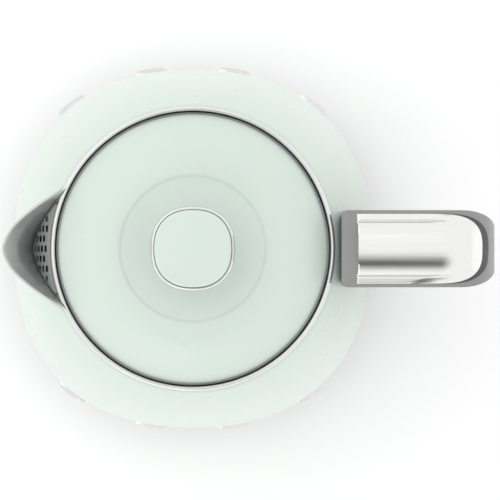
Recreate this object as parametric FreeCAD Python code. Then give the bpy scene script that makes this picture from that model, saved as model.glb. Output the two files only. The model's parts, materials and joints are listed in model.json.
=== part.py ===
"""Cordless jug kettle with its power base, built piece by piece.

Frame: millimetres, +Z up, +X towards the handle, -X towards the spout.
The origin is on the table under the body axis. Every piece is a node of its own,
written to parts/NAME.step in its closed, seated position.
"""
import FreeCAD, Part
import math
import os

os.makedirs("parts", exist_ok=True)
V = FreeCAD.Vector
X, Y, Z = V(1, 0, 0), V(0, 1, 0), V(0, 0, 1)
O = V(0, 0, 0)

# ---- driving dimensions (mm) -------------------------------------------------
BODY_BOTTOM = 24.0          # lower edge of the painted wall
BODY_TOP = 202.0            # upper edge of the painted wall, under the chrome ring
BODY_HALF = 85.5            # largest half width of the body, at WAIST_Z
WAIST_Z = 65.0
SHOULDER_SPAN = 138.0       # height over which the wall draws in to the ring
SHOULDER_SOFT = 9.0         # gentle part of the draw-in
SHOULDER_HARD = 11.4        # tight part of the draw-in, near the ring
FOOT_TUCK = 4.5             # how much the wall tucks in at its lower edge
SQUARENESS = 2.32           # superellipse power of the plan section, 2 = circle
WALL = 1.2

MOUTH_R = 63.0              # clear radius inside the chrome ring
RING_R = 65.25              # outer radius of the chrome bead
RING_TOP = 205.2
LID_R = 62.5                # outer radius of the lid rim band
LID_SKIN_R = 61.4           # painted part of the lid
LID_EDGE_Z = 203.5
LID_FOOT_Z = 202.1          # lower edge of the painted skin
LINER_R, LINER_Z = 58.5, 200.9
DISH_R = 33.9               # crisp edge of the dish round the knob
DISH_EDGE_Z = 217.6
DISH_FLOOR_Z = 215.4
KNOB_HALF = 19.4
KNOB_TOP = 248.0
KNOB_POWER = 2.31

HINGE_X = 49.0              # lid hinge axis, along Y inside the mouth
HINGE_Z = 203.5
PIN_R = 1.5
PIN_PLAY = 0.05

SPOUT_TOP = 206.5           # rim of the spout where it meets the ring
SPOUT_TIP_Z = 208.5         # rim at the tip
SPOUT_T = 0.9
# half outline of the spout rim in plan: distance from the axis, half width
SPOUT_RIM = [(87.0, 0.0), (86.5, 3.0), (85.0, 6.6), (82.6, 10.5), (78.5, 14.9),
             (74.4, 18.6), (69.1, 22.7), (64.2, 26.3), (58.6, 30.4)]
SPOUT_ROOT_Z = 182.5        # lowest point, where the spout melts into the wall

FILTER_TOP = 200.8          # upper edge of the filter, under the ring
FILTER_PLAY = 0.35          # between the filter and the sides of the trough
SLOT_W, SLOT_D = 3.1, 1.0   # filter slots, across the spout and along it
SLOT_PITCH_Y, SLOT_PITCH_Z = 4.6, 3.3
SLOT_TOP_Z = 198.6          # middle of the topmost slots

HANDLE_W = 35.2             # width across the grip
HANDLE_X0 = 68.0            # where the handle block starts, beside the ring
HANDLE_X1 = 138.9           # outermost point of the handle
HANDLE_TOP = 213.0
ARM_UNDER = 192.0           # underside of the upper arm
GRIP_IN = 118.0             # finger side of the grip
LOWER_TOP, LOWER_UNDER = 64.0, 46.0
BEND_R = 26.0
COVER_X0, COVER_NOSE = 74.9, 132.6
COVER_HALF, COVER_CREASE = 15.9, 12.4
COVER_SEAT = 1.4            # depth of the pocket the cover lies in
COVER_CROWN = 3.3           # middle of the cover above the grey moulding
GASKET_NOSE = 135.5
NOSE_LENGTH = 24.0          # length of the bullet nose of the cover and its gasket

BASE_R = 74.0               # power base
BASE_TOP = 21.7
HUB_R, HUB_TOP = 17.5, 33.0
SEAT_Z = 22.0               # kettle foot ring, 0.3 above the power base
PLATE_Z = 40.0              # underside of the heater plate
CORD_Z, CORD_R = 9.0, 3.5
LEVER_X, LEVER_Z = 103.0, 40.5

nodes = {}


# ---- helpers -----------------------------------------------------------------
def box(x0, x1, y0, y1, z0, z1):
    return Part.makeBox(x1 - x0, y1 - y0, z1 - z0, V(x0, y0, z0))


def tube(r_in, r_out, z0, z1, x=0.0, y=0.0):
    """Upright cylinder at x, y, hollow if r_in is above zero."""
    s = Part.makeCylinder(r_out, z1 - z0, V(x, y, z0), Z)
    if r_in > 0:
        s = s.cut(Part.makeCylinder(r_in, z1 - z0 + 2, V(x, y, z0 - 1), Z))
    return s


def rod(r, start, direction, length):
    return Part.makeCylinder(r, length, V(*start), V(*direction))


def spun(points, angle=360.0):
    """Turn a closed (radius, z) outline about the Z axis."""
    wire = Part.makePolygon([V(r, 0, z) for r, z in points + points[:1]])
    return Part.Face(wire).revolve(O, Z, angle)


def prism(points, z0, z1):
    """Upright prism over a closed (x, y) outline."""
    wire = Part.makePolygon([V(x, y, z0) for x, y in points + points[:1]])
    return Part.Face(wire).extrude(V(0, 0, z1 - z0))


def draw_in(z):
    """Half width of the body at height z."""
    if z < WAIST_Z:
        t = (WAIST_Z - z) / (WAIST_Z - BODY_BOTTOM)
        return BODY_HALF - FOOT_TUCK * t ** 2.5
    t = (z - WAIST_Z) / SHOULDER_SPAN
    return BODY_HALF - SHOULDER_SOFT * t ** 2 - SHOULDER_HARD * t ** 6


def squareness(z):
    """The plan is a soft square below and a true circle at the ring."""
    t = max(0.0, (z - WAIST_Z) / SHOULDER_SPAN)
    return SQUARENESS - (SQUARENESS - 2.0) * min(1.0, t) ** 2


def soft_square(half, power, z, count=32):
    """Closed superellipse wire at height z."""
    pts = []
    for i in range(count):
        a = math.radians(45 + 360.0 * i / count)
        c, s = abs(math.cos(a)), abs(math.sin(a))
        r = half / (c ** power + s ** power) ** (1.0 / power)
        pts.append(V(r * math.cos(a), r * math.sin(a), z))
    curve = Part.BSplineCurve()
    curve.interpolate(Points=pts, PeriodicFlag=True)
    return Part.Wire(curve.toShape())


def envelope(depth, z0, z1, count=11):
    """Solid bounded by the body surface moved inwards by depth."""
    wires = []
    for i in range(count):
        z = z0 + (z1 - z0) * i / (count - 1)
        slope = (draw_in(z + 0.1) - draw_in(z - 0.1)) / 0.2
        half = draw_in(z) - depth * math.sqrt(1 + slope ** 2)
        wires.append(soft_square(half, squareness(z), z))
    return Part.makeLoft(wires, True, False)


def loft_soft(levels, power):
    """Loft of superellipses given as (half, z)."""
    wires = [soft_square(h, power, z) for h, z in levels]
    return Part.makeLoft(wires, True, False)


def fused(shapes):
    out = shapes[0]
    for s in shapes[1:]:
        out = out.fuse(s)
    return out.removeSplitter()


def keep(name, shape):
    nodes[name] = shape
    return shape


# ---- power base --------------------------------------------------------------
SCREW_ANGLES = (60, 180, 300)


def around(radius, angle):
    """Point on a circle, angle in degrees."""
    a = math.radians(angle)
    return radius * math.cos(a), radius * math.sin(a)


def power_base():
    """Foot ring, two mouldings, connector, contacts and the gland for the cord."""
    keep("base_foot_ring", tube(60, 66, 0, 1.5))
    cover = spun([(74, 1.5), (74, 11.5), (72.6, 16), (69.2, 19.6), (64, BASE_TOP),
                  (40, BASE_TOP), (37, 20), (18, 20), (18, 18), (36.4, 18),
                  (39.4, 19.7), (63.6, 19.7), (67.8, 17.9), (70.8, 14.9), (72, 11),
                  (72, 1.5)])
    plate = tube(0, 72, 1.5, 4)
    screws = []
    for a in SCREW_ANGLES:
        x, y = around(50, a)
        cover = cover.fuse(tube(1.4, 3.4, 4, 19.8, x, y))
        plate = plate.cut(tube(0, 1.7, 1, 5, x, y)).cut(tube(0, 3.2, 1, 3, x, y))
        cover = cover.cut(tube(0, 1.4, 3, 15, x, y))
        screws.append(fused([tube(0, 3.0, 1.8, 3, x, y), tube(0, 1.4, 3, 13, x, y)]))
    gland = fused([rod(5.5, (66, 0, CORD_Z), (1, 0, 0), 9),
                   rod(7.0, (74, 0, CORD_Z), (1, 0, 0), 2.5),
                   Part.makeCone(6.0, 4.6, 5.5, V(76.5, 0, CORD_Z), X),
                   rod(7.0, (69.6, 0, CORD_Z), (1, 0, 0), 1.6)])
    gland = gland.cut(rod(CORD_R, (60, 0, CORD_Z), (1, 0, 0), 40))
    gland = gland.cut(box(60, 90, -20, 20, -5, 1.5))
    band = tube(74, 74.8, 3, 7).cut(rod(7.2, (60, 0, CORD_Z), (1, 0, 0), 40))
    cover = cover.cut(rod(5.5, (60, 0, CORD_Z), (1, 0, 0), 30))
    cover = cover.cut(rod(7.0, (69.6, 0, CORD_Z), (1, 0, 0), 1.6))
    plate = plate.cut(rod(7.0, (66, 0, CORD_Z), (1, 0, 0), 10))
    hub = fused([tube(0, HUB_R, 4, HUB_TOP), tube(0, 24, 15.5, 18)])
    for r_in, r_out in ((0, 4.0), (6.0, 8.6), (12.0, 14.6)):
        hub = hub.cut(tube(r_in, r_out, 20, HUB_TOP + 1))
    keep("base_cover", cover)
    keep("base_underplate", plate)
    keep("base_screws", Part.makeCompound(screws))
    keep("cord_gland", gland)
    keep("base_trim_band", band)
    keep("connector_hub", hub)
    keep("contact_pin", tube(0, 1.6, 20, 31))
    keep("contact_ring_inner", tube(6.0, 6.7, 20, 31))
    keep("contact_ring_outer", tube(12.0, 12.7, 20, 31))
    block = box(32, 52, -9, 9, 4, 13)
    for y in (-5, 0, 5):
        block = block.cut(rod(1.3, (30, y, 9), (1, 0, 0), 30))
        block = block.cut(tube(0, 1.6, 10, 14, 42, y))
    keep("terminal_block", block)


# ---- body and spout ----------------------------------------------------------
def spout_solid(inset):
    """Solid nose of the spout; inset 0 is the outer face, SPOUT_T the inner one."""
    root = SPOUT_ROOT_Z + inset * 1.6
    wires = []
    for k in (0.0, 0.05, 0.13, 0.26, 0.45, 0.65, 0.83, 1.0, 1.15):
        z = root + (SPOUT_TIP_Z - root) * k
        # low contours hug the round wall, high ones follow the rim
        grow = min(k, 1.0)
        width = max(0.08, grow ** 0.5)
        wall_r = draw_in(min(z, BODY_TOP)) - inset
        half = []
        for r, y in SPOUT_RIM:
            y_here = max(0.0, y - inset * 0.9) * width
            x_wall = math.sqrt(wall_r ** 2 - y_here ** 2)
            half.append(V(-(grow * (r - inset) + (1 - grow) * x_wall), y_here, z))
        full = [V(p.x, -p.y, p.z) for p in reversed(half[1:])] + half
        curve = Part.BSplineCurve()
        curve.interpolate(full)
        a, b = full[-1], full[0]
        ends = [V(-46, a.y, z), V(-46, b.y, z)]
        wires.append(Part.Wire([curve.toShape(), Part.makeLine(a, ends[0]),
                                Part.makeLine(ends[0], ends[1]),
                                Part.makeLine(ends[1], b)]))
    return Part.makeLoft(wires, True, True)


def body_and_spout():
    """Outer envelope, painted wall with the spout opening, and the folded lip."""
    outer = envelope(0, BODY_BOTTOM, BODY_TOP)
    inner = envelope(WALL, BODY_BOTTOM - 2, BODY_TOP + 2)
    shell = outer.cut(inner)
    nose = spout_solid(0.0)
    trough = spout_solid(SPOUT_T)
    # the rim rises from the ring to the tip
    rise = (SPOUT_TIP_Z - SPOUT_TOP) / 25.0
    over = Part.Face(Part.makePolygon([
        V(-100, -60, SPOUT_TOP + rise * 38), V(-40, -60, SPOUT_TOP - rise * 22),
        V(-40, -60, 230), V(-100, -60, 230), V(-100, -60, SPOUT_TOP + rise * 38)]))
    over = over.extrude(V(0, 120, 0))
    lip = nose.cut(trough).cut(over)
    lip = lip.cut(outer).cut(tube(0, RING_R + 0.3, 190, 215))
    lip = max(lip.Solids, key=lambda s: s.Volume)
    mouth = trough.common(box(-100, -56, -40, 40, 170, BODY_TOP + 3))
    shell = shell.cut(mouth)
    return outer, shell, lip


def rim_ring():
    """Chrome bead with a thin skirt that hangs inside the wall's upper edge."""
    top = V(64.1, 0, RING_TOP)
    pts = [V(MOUTH_R, 0, 201.2), V(MOUTH_R, 0, 203.4), V(RING_R, 0, 203.4),
           V(RING_R, 0, BODY_TOP), V(63.9, 0, BODY_TOP), V(63.9, 0, 201.2)]
    edges = [Part.makeLine(pts[0], pts[1]),
             Part.Arc(pts[1], top, pts[2]).toShape(),
             Part.makeLine(pts[2], pts[3]), Part.makeLine(pts[3], pts[4]),
             Part.makeLine(pts[4], pts[5]), Part.makeLine(pts[5], pts[0])]
    return Part.Face(Part.Wire(edges)).revolve(O, Z, 360)


def badges(outer):
    """Four plain raised plates along each flank."""
    skin = envelope(-2.2, 50, 110, 7)
    w, h, r = 15.5, 20.0, 3.0
    plates = []
    for angle in (50.0, 76.8):
        pad = box(60, 100, -w / 2, w / 2, 66, 66 + h)
        upright = [e for e in pad.Edges if abs(e.tangentAt(e.FirstParameter).x) > 0.9]
        pad = pad.makeFillet(r, upright)
        pad.rotate(O, Z, angle)
        plates.append(pad.common(skin).cut(outer))
    left = plates + [p.mirror(O, X) for p in plates]
    keep("side_badges_left", Part.makeCompound(left))
    keep("side_badges_right", Part.makeCompound([p.mirror(O, Y) for p in left]))


# ---- handle ------------------------------------------------------------------
def handle_outline(shift):
    """Outer line of the handle in side view, moved outwards by shift."""
    top, out = HANDLE_TOP + shift, HANDLE_X1 + shift
    r = BEND_R + shift
    c = V(HANDLE_X1 - BEND_R, 0, HANDLE_TOP - BEND_R)
    mid = V(c.x + r * math.sin(math.pi / 4), 0, c.z + r * math.cos(math.pi / 4))
    return (V(60, 0, top), V(c.x, 0, top), mid, V(out, 0, c.z), V(out, 0, 92))


def handle_core_solid():
    """The closed loop of the handle, before its seats are cut."""
    a, b, mid, c, d = handle_outline(0)
    low_out = V(131, 0, 62)
    low_mid = V(136.6, 0, 75)
    heel = V(112, 0, LOWER_UNDER)
    heel_mid = V(124.5, 0, 50.5)
    edges = [Part.makeLine(a, b), Part.Arc(b, mid, c).toShape(), Part.makeLine(c, d),
             Part.Arc(d, low_mid, low_out).toShape(),
             Part.Arc(low_out, heel_mid, heel).toShape(),
             Part.makeLine(heel, V(60, 0, LOWER_UNDER)),
             Part.makeLine(V(60, 0, LOWER_UNDER), a)]
    face = Part.Face(Part.Wire(edges))
    r = 12.0
    h = [V(60, 0, 178), V(76.5, 0, 178), V(90, 0, ARM_UNDER),
         V(GRIP_IN - r, 0, ARM_UNDER), V(GRIP_IN, 0, ARM_UNDER - r),
         V(GRIP_IN, 0, 96), V(104, 0, LOWER_TOP), V(60, 0, LOWER_TOP)]
    hole = Part.Face(Part.Wire([
        Part.makeLine(h[0], h[1]),
        Part.Arc(h[1], V(80.5, 0, 187.5), h[2]).toShape(),
        Part.makeLine(h[2], h[3]),
        Part.Arc(h[3], V(GRIP_IN - r * 0.293, 0, ARM_UNDER - r * 0.293), h[4]).toShape(),
        Part.makeLine(h[4], h[5]),
        Part.Arc(h[5], V(114.5, 0, 74), h[6]).toShape(),
        Part.makeLine(h[6], h[7]), Part.makeLine(h[7], h[0])]))
    solid = face.extrude(V(0, HANDLE_W, 0))
    solid = solid.cut(hole.extrude(V(0, HANDLE_W, 0)))
    solid.translate(V(0, -HANDLE_W / 2, 0))
    return solid.common(handle_plan())


def handle_plan():
    """Upright prism over the plan outline, with long rounded outer corners."""
    half, x1 = HANDLE_W / 2, HANDLE_X1
    cx, cy = 16.0, 8.5
    nick = 2.3
    pts = [V(HANDLE_X0 + nick, -half, 0), V(x1 - cx, -half, 0)]
    corner = [V(x1 - cx + cx * math.sin(t), -half + cy - cy * math.cos(t), 0)
              for t in [math.radians(15 * k) for k in range(7)]]
    low = Part.BSplineCurve()
    low.interpolate(corner)
    high = Part.BSplineCurve()
    high.interpolate([V(p.x, -p.y, 0) for p in reversed(corner)])
    edges = [Part.makeLine(pts[0], pts[1]), low.toShape(),
             Part.makeLine(corner[-1], V(corner[-1].x, -corner[-1].y, 0)),
             high.toShape(),
             Part.makeLine(V(x1 - cx, half, 0), V(HANDLE_X0 + nick, half, 0)),
             Part.makeLine(V(HANDLE_X0 + nick, half, 0), V(HANDLE_X0, half - nick, 0)),
             Part.makeLine(V(HANDLE_X0, half - nick, 0), V(HANDLE_X0, nick - half, 0)),
             Part.makeLine(V(HANDLE_X0, nick - half, 0), pts[0])]
    return Part.Face(Part.Wire(edges)).extrude(V(0, 0, 260))


def bullet(half, nose, x0):
    """Upright prism with a bullet-shaped nose towards +X."""
    shoulder = nose - NOSE_LENGTH
    run = [V(shoulder + NOSE_LENGTH * math.sin(t) ** 0.667, half * math.cos(t) ** 0.667, 0)
           for t in [math.radians(k) for k in (0, 8, 20, 34, 48, 62, 75, 84)]]
    curve = Part.BSplineCurve()
    curve.interpolate(run + [V(nose, 0, 0)] + [V(p.x, -p.y, 0) for p in reversed(run)])
    edges = [Part.makeLine(V(x0, half, 0), run[0]), curve.toShape(),
             Part.makeLine(V(run[0].x, -half, 0), V(x0, -half, 0)),
             Part.makeLine(V(x0, -half, 0), V(x0, half, 0))]
    return Part.Face(Part.Wire(edges)).extrude(V(0, 0, 260))


def handle_strip(low, high, width):
    """Layer that follows the outer line of the handle between two offsets."""
    a0, b0, m0, c0 = handle_outline(low)[:4]
    a1, b1, m1, c1 = handle_outline(high)[:4]
    edges = [Part.makeLine(a1, b1), Part.Arc(b1, m1, c1).toShape(),
             Part.makeLine(c1, c0), Part.Arc(c0, m0, b0).toShape(),
             Part.makeLine(b0, a0), Part.makeLine(a0, a1)]
    solid = Part.Face(Part.Wire(edges)).extrude(V(0, width, 0))
    solid.translate(V(0, -width / 2, 0))
    return solid


def crowned_strip():
    """Cover section, raised between its two creases, run along the arm and round the bend."""
    bend_x, bend_z = HANDLE_X1 - BEND_R, HANDLE_TOP - BEND_R
    low, crease, shoulder = HANDLE_TOP - COVER_SEAT, HANDLE_TOP + 0.3, HANDLE_TOP + 0.7

    def at(y, z):
        return V(bend_x, y, z)
    corners = [at(COVER_CREASE, crease), at(COVER_CREASE, shoulder), at(COVER_HALF, crease),
               at(COVER_HALF, low), at(-COVER_HALF, low), at(-COVER_HALF, crease),
               at(-COVER_CREASE, shoulder), at(-COVER_CREASE, crease)]
    edges = [Part.makeLine(p, q) for p, q in zip(corners, corners[1:])]
    crown = Part.Arc(corners[-1], at(0, HANDLE_TOP + COVER_CROWN), corners[0])
    section = Part.Face(Part.Wire(edges + [crown.toShape()]))
    arm = section.extrude(V(COVER_X0 - bend_x - 1, 0, 0))
    bend = section.revolve(V(bend_x, 0, bend_z), Y, 70)
    return arm.fuse(bend)


def handle(outer):
    core = handle_core_solid()
    core = core.cut(outer).cut(tube(0, RING_R + 0.3, 190, 215))
    pocket = bullet(COVER_HALF, COVER_NOSE, COVER_X0)
    cover = crowned_strip().common(pocket).removeSplitter()
    # the gasket shows as a crescent round the nose and runs out along the sides
    seal = handle_strip(-COVER_SEAT, 0.2, 2 * COVER_HALF)
    seal = seal.common(bullet(COVER_HALF, GASKET_NOSE, COVER_X0)).cut(pocket)
    core = core.cut(handle_strip(-COVER_SEAT, 5.0, HANDLE_W).common(pocket)).cut(seal)
    # seat for the switch lever: two lugs under the lower arm
    lug = box(LEVER_X - 5, LEVER_X + 5, 12.2, 15.2, LEVER_Z - 4, LOWER_UNDER + 1)
    lug = lug.fuse(lug.mirror(O, Y))
    core = fused([core, lug]).cut(rod(PIN_R, (LEVER_X, -20, LEVER_Z), (0, 1, 0), 40))
    return core, cover, seal


# ---- inside the kettle -------------------------------------------------------
def underside():
    """Heater plate, element, thermostat and the bottom closure."""
    inside = envelope(WALL, BODY_BOTTOM - 2, 60, 7)
    plate = loft_soft([(80.5, PLATE_Z), (80.5, PLATE_Z + 1.4)], SQUARENESS)
    seal = inside.common(box(-90, 90, -90, 90, PLATE_Z - 1.5, PLATE_Z + 3))
    seal = seal.cut(loft_soft([(80.5, PLATE_Z - 2), (80.5, PLATE_Z + 4)], SQUARENESS))
    lip = inside.common(box(-90, 90, -90, 90, PLATE_Z - 1.5, PLATE_Z))
    seal = seal.fuse(lip.cut(loft_soft([(78, PLATE_Z - 2), (78, PLATE_Z + 4)], SQUARENESS)))
    keep("plate_seal", seal)
    spreader = tube(0, 62, PLATE_Z - 1.6, PLATE_Z)
    ring = Part.makeTorus(48, 4, V(0, 0, PLATE_Z - 4.9), Z)
    gap = prism([(0, 0), (-70, 16), (-70, -16)], 20, 60)
    element = ring.cut(gap).cut(spreader)
    ends = [tube(0, 1.6, 29.5, 35, *around(48, 180 + s * 17)) for s in (1, -1)]
    element = fused([element] + ends)
    disc_spots = ((0, 19.5), (0, -19.5))
    unit = tube(0, 30, 26.0, PLATE_Z - 2.8)
    unit = unit.cut(tube(0, HUB_R + 1.0, 25, HUB_TOP + 1.0))
    discs = [tube(0, 8, PLATE_Z - 2.8, PLATE_Z - 1.6, x, y) for x, y in disc_spots]
    sockets = [tube(a, b, 24.5, HUB_TOP + 1.0) for a, b in
               ((2.0, 3.6), (7.3, 8.1), (13.3, 14.1))]
    bottom = loft_soft([(79.2, SEAT_Z + 2), (79.9, SEAT_Z + 4)], SQUARENESS)
    bottom = bottom.fuse(tube(44, 62, SEAT_Z, SEAT_Z + 2))
    bottom = bottom.cut(tube(0, HUB_R + 1.5, 20, 30))
    screws = []
    for a in (0, 120, 240):
        x, y = around(26, a)
        bottom = bottom.cut(tube(0, 1.7, 20, 30, x, y)).cut(tube(0, 3.2, 20, 25, x, y))
        unit = unit.cut(tube(0, 1.4, 20, 32, x, y))
        screws.append(fused([tube(0, 3.0, 24.0, 25, x, y), tube(0, 1.4, 25, 31, x, y)]))
    x, y = 65.5, 21.0
    steam = tube(2.8, 3.8, 29, 178, x, y)
    hole = tube(0, 3.8, 20, 60, x, y)
    keep("heater_plate", plate.cut(hole))
    keep("heat_spreader", spreader)
    keep("heating_element", element)
    keep("control_unit", unit)
    keep("bimetal_discs", Part.makeCompound(discs))
    keep("socket_contacts", Part.makeCompound(sockets))
    keep("bottom_cover", bottom)
    keep("bottom_screws", Part.makeCompound(screws))
    keep("steam_tube", steam)


def water_gauge(wall, outer):
    """Clear gauge strip in the wall, in the finger gap behind the handle."""
    def slot(half, z0, z1):
        s = box(60, 100, -half, half, z0, z1)
        s = s.fuse(rod(half, (60, 0, z0), (1, 0, 0), 40))
        return s.fuse(rod(half, (60, 0, z1), (1, 0, 0), 40)).removeSplitter()
    outside = envelope(-1.2, 60, 190, 9)
    flush = envelope(-0.4, 60, 190, 9)
    back = envelope(WALL + 1.2, 60, 190, 9)
    window = slot(5.0, 88, 160).common(flush).cut(back)
    frame = slot(8.0, 88, 160).common(outside).cut(outer).cut(slot(5.0, 88, 160))
    keep("water_window", window)
    keep("window_frame", frame)
    return wall.cut(slot(5.0, 88, 160))


def hinge_mount(wall):
    """Bracket under the rear of the mouth: two ears, a foot and a wall flange."""
    inside = envelope(WALL + 0.05, 170, BODY_TOP + 2, 7)
    foot = box(43.5, 76, -13, 13, 183.5, 186).common(inside)
    flange = box(60, 76, -13, 13, 180, 199.5).common(inside).cut(
        envelope(WALL + 2.0, 168, BODY_TOP + 2, 7))
    ear = Part.Face(Part.makePolygon([
        V(43.5, 9.8, 183.5), V(49, 9.8, 183.5), V(49.2, 9.8, 199.5), V(52.3, 9.8, 201.8),
        V(52.3, 9.8, 205.2), V(50.5, 9.8, 206.6), V(47.5, 9.8, 206.6), V(45.6, 9.8, 205.2),
        V(44.5, 9.8, 199.5), V(43.5, 9.8, 183.5)])).extrude(V(0, 2.6, 0))
    bracket = fused([foot, flange, ear, ear.mirror(O, Y)])
    bracket = bracket.cut(rod(PIN_R, (HINGE_X, -20, HINGE_Z), (0, 1, 0), 40))
    keep("hinge_pin", rod(PIN_R, (HINGE_X, -13.2, HINGE_Z), (0, 1, 0), 26.4))
    screws = []
    for x0, x1, y, z in ((65.2, 88, 8, 194.5), (65.2, 88, -8, 194.5),
                         (80.6, 100, 8, 55), (80.6, 100, -8, 55)):
        screws.append(fused([rod(1.8, (x0, y, z), (1, 0, 0), x1 - x0),
                             rod(3.4, (x0, y, z), (1, 0, 0), 1.8)]))
    screws = Part.makeCompound(screws)
    keep("handle_screws", screws)
    keep("lid_hinge_bracket", bracket.cut(screws))
    return wall.cut(screws)


# ---- lid ---------------------------------------------------------------------
def lid():
    """Everything that tips up with the lid: shell, band, liner, seal, knuckle and knob."""
    arc = [(LID_SKIN_R, LID_FOOT_Z), (LID_SKIN_R, LID_EDGE_Z)]
    n = 9
    for i in range(1, n + 1):
        k = i / n
        r = LID_SKIN_R - (LID_SKIN_R - DISH_R) * k
        z = LID_EDGE_Z + (DISH_EDGE_Z - LID_EDGE_Z) * math.sin(k * math.pi / 2) ** 0.85
        arc.append((r, z))
    top = arc + [(DISH_R - 1.6, DISH_EDGE_Z - 1.0), (24, DISH_FLOOR_Z + 0.2),
                 (0, DISH_FLOOR_Z)]
    under = [(0, DISH_FLOOR_Z - 1.2), (24, DISH_FLOOR_Z - 1.0),
             (DISH_R - 1.6, DISH_EDGE_Z - 2.3)]
    inner = [(r - 0.7, z - 1.2) for r, z in reversed(arc[2:-1])]
    skin = spun(top + under + inner + [(LID_SKIN_R - 1.3, LID_FOOT_Z)])
    skin = skin.cut(tube(0, 2.0, 200, 220))
    band = spun([(LINER_R, LINER_Z), (LID_R, LINER_Z), (LID_R, LID_EDGE_Z - 0.3),
                 (LID_R - 0.3, LID_EDGE_Z), (LID_SKIN_R, LID_EDGE_Z),
                 (LID_SKIN_R, LID_FOOT_Z), (LINER_R, LID_FOOT_Z)])
    liner = tube(0, LINER_R, LINER_Z, LID_FOOT_Z).fuse(tube(53.0, 54.2, 198.8, 201))
    seal = tube(54.2, 60.2, 199.4, LINER_Z)
    notch = box(40.0, 60.0, -14.5, 14.5, 190, 204)
    rear = box(53, 60, -14.5, 14.5, 190, 200.9)
    liner = liner.removeSplitter().cut(notch).cut(rear)
    seal = seal.cut(box(36, 64, -14.5, 14.5, 190, 202))
    arm = Part.Face(Part.makePolygon([
        V(46.2, -9.2, 201.4), V(51.0, -9.2, 200.9), V(52.6, -9.2, 203.5),
        V(52.6, -9.2, 206), V(52.6, -9.2, 212), V(34, -9.2, 216),
        V(34, -9.2, 204), V(45, -9.2, 204), V(46.2, -9.2, 201.4)])).extrude(V(0, 18.4, 0))
    hollow = spun([(0, 195), (LID_SKIN_R - 1.5, 195), (LID_SKIN_R - 1.5, LID_EDGE_Z - 2)]
                  + inner[::-1] + [(DISH_R - 1.6, DISH_EDGE_Z - 2.3), (24, DISH_FLOOR_Z - 1.0),
                                   (0, DISH_FLOOR_Z - 1.2)])
    arm = arm.common(hollow).cut(liner)
    arm = arm.cut(rod(PIN_R + PIN_PLAY, (HINGE_X, -20, HINGE_Z), (0, 1, 0), 40))
    stem = spun([(2.0, DISH_FLOOR_Z), (15.0, DISH_FLOOR_Z + 0.2), (12.5, 217.5),
                 (10.0, 221), (9.6, 226), (11.5, 230.5), (15.5, 232.5), (15.5, 234),
                 (2.0, 234)])
    stem = stem.cut(skin)
    ring = loft_soft([(15.0, 232.0), (18.2, 234.0), (KNOB_HALF, 238.0),
                      (KNOB_HALF - 0.2, 242.0), (17.8, 244.6)], KNOB_POWER)
    cap = loft_soft([(17.5, 240.0), (17.5, 244.6), (16.4, 246.2), (14.0, 247.1),
                     (10.0, 247.7), (5.0, 247.95), (1.0, KNOB_TOP)], KNOB_POWER)
    ring = ring.cut(cap).cut(stem).cut(tube(0, 2.0, 200, 236))
    screw = fused([tube(0, 1.9, 208, 238), tube(0, 4.0, 211.0, 214.0)])
    ring = ring.cut(screw)
    stem = stem.cut(screw)
    screw = screw.cut(skin)
    keep("lid_skin", skin)
    keep("lid_rim_band", band)
    keep("lid_liner", liner)
    keep("lid_seal", seal)
    keep("lid_hinge_arm", arm)
    keep("knob_stem", stem)
    keep("knob_ring", ring)
    keep("knob_cap", cap.cut(screw))
    keep("knob_screw", screw)


# ---- spout filter ------------------------------------------------------------
def spout_filter():
    """Slotted panel flush in the wall opening, with a frame behind the wall."""
    panel = envelope(0.1, 170, BODY_TOP + 4, 9).cut(envelope(WALL + 1.0, 168, 208, 9))
    panel = panel.common(spout_solid(SPOUT_T + FILTER_PLAY))
    panel = panel.common(box(-90, -50, -40, 40, 170, FILTER_TOP))
    edge = prism_x([(-27.0, FILTER_TOP), (27.0, FILTER_TOP), (19.5, 188.0), (8, 181.6),
                    (-8, 181.6), (-19.5, 188.0)])
    frame = envelope(WALL + 0.35, 168, BODY_TOP + 4, 9)
    frame = frame.cut(envelope(WALL + 1.6, 166, 208, 9)).common(edge)
    frame = frame.cut(spout_solid(SPOUT_T + 1.6)).cut(panel)
    panel = panel.cut(Part.makeCompound(slot_cells()))
    keep("spout_filter", max(panel.Solids, key=lambda s: s.Volume))
    keep("filter_frame", max(frame.Solids, key=lambda s: s.Volume))


def slot_cells():
    """Upright cutters for the slots, each second column half a pitch lower."""
    cells = []
    for column in range(-3, 4):
        y = column * SLOT_PITCH_Y
        z = SLOT_TOP_Z - 0.5 * SLOT_PITCH_Z * (abs(column) % 2)
        while z > SPOUT_ROOT_Z + 5.0:
            rise = (z - SPOUT_ROOT_Z - 2.0) / (SPOUT_TIP_Z - SPOUT_ROOT_Z)
            if abs(y) < 25.0 * rise ** 0.5 - 3.0:
                x = -math.sqrt(draw_in(z) ** 2 - y ** 2)
                cells.append(box(x - SLOT_D / 2, x + SLOT_D / 2,
                                 y - SLOT_W / 2, y + SLOT_W / 2, 175, BODY_TOP + 4))
            z -= SLOT_PITCH_Z
    return cells


def prism_x(points):
    """Prism along X over a closed (y, z) outline, on the spout side."""
    wire = Part.makePolygon([V(-95, y, z) for y, z in points + points[:1]])
    return Part.Face(wire).extrude(V(60, 0, 0))


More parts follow.
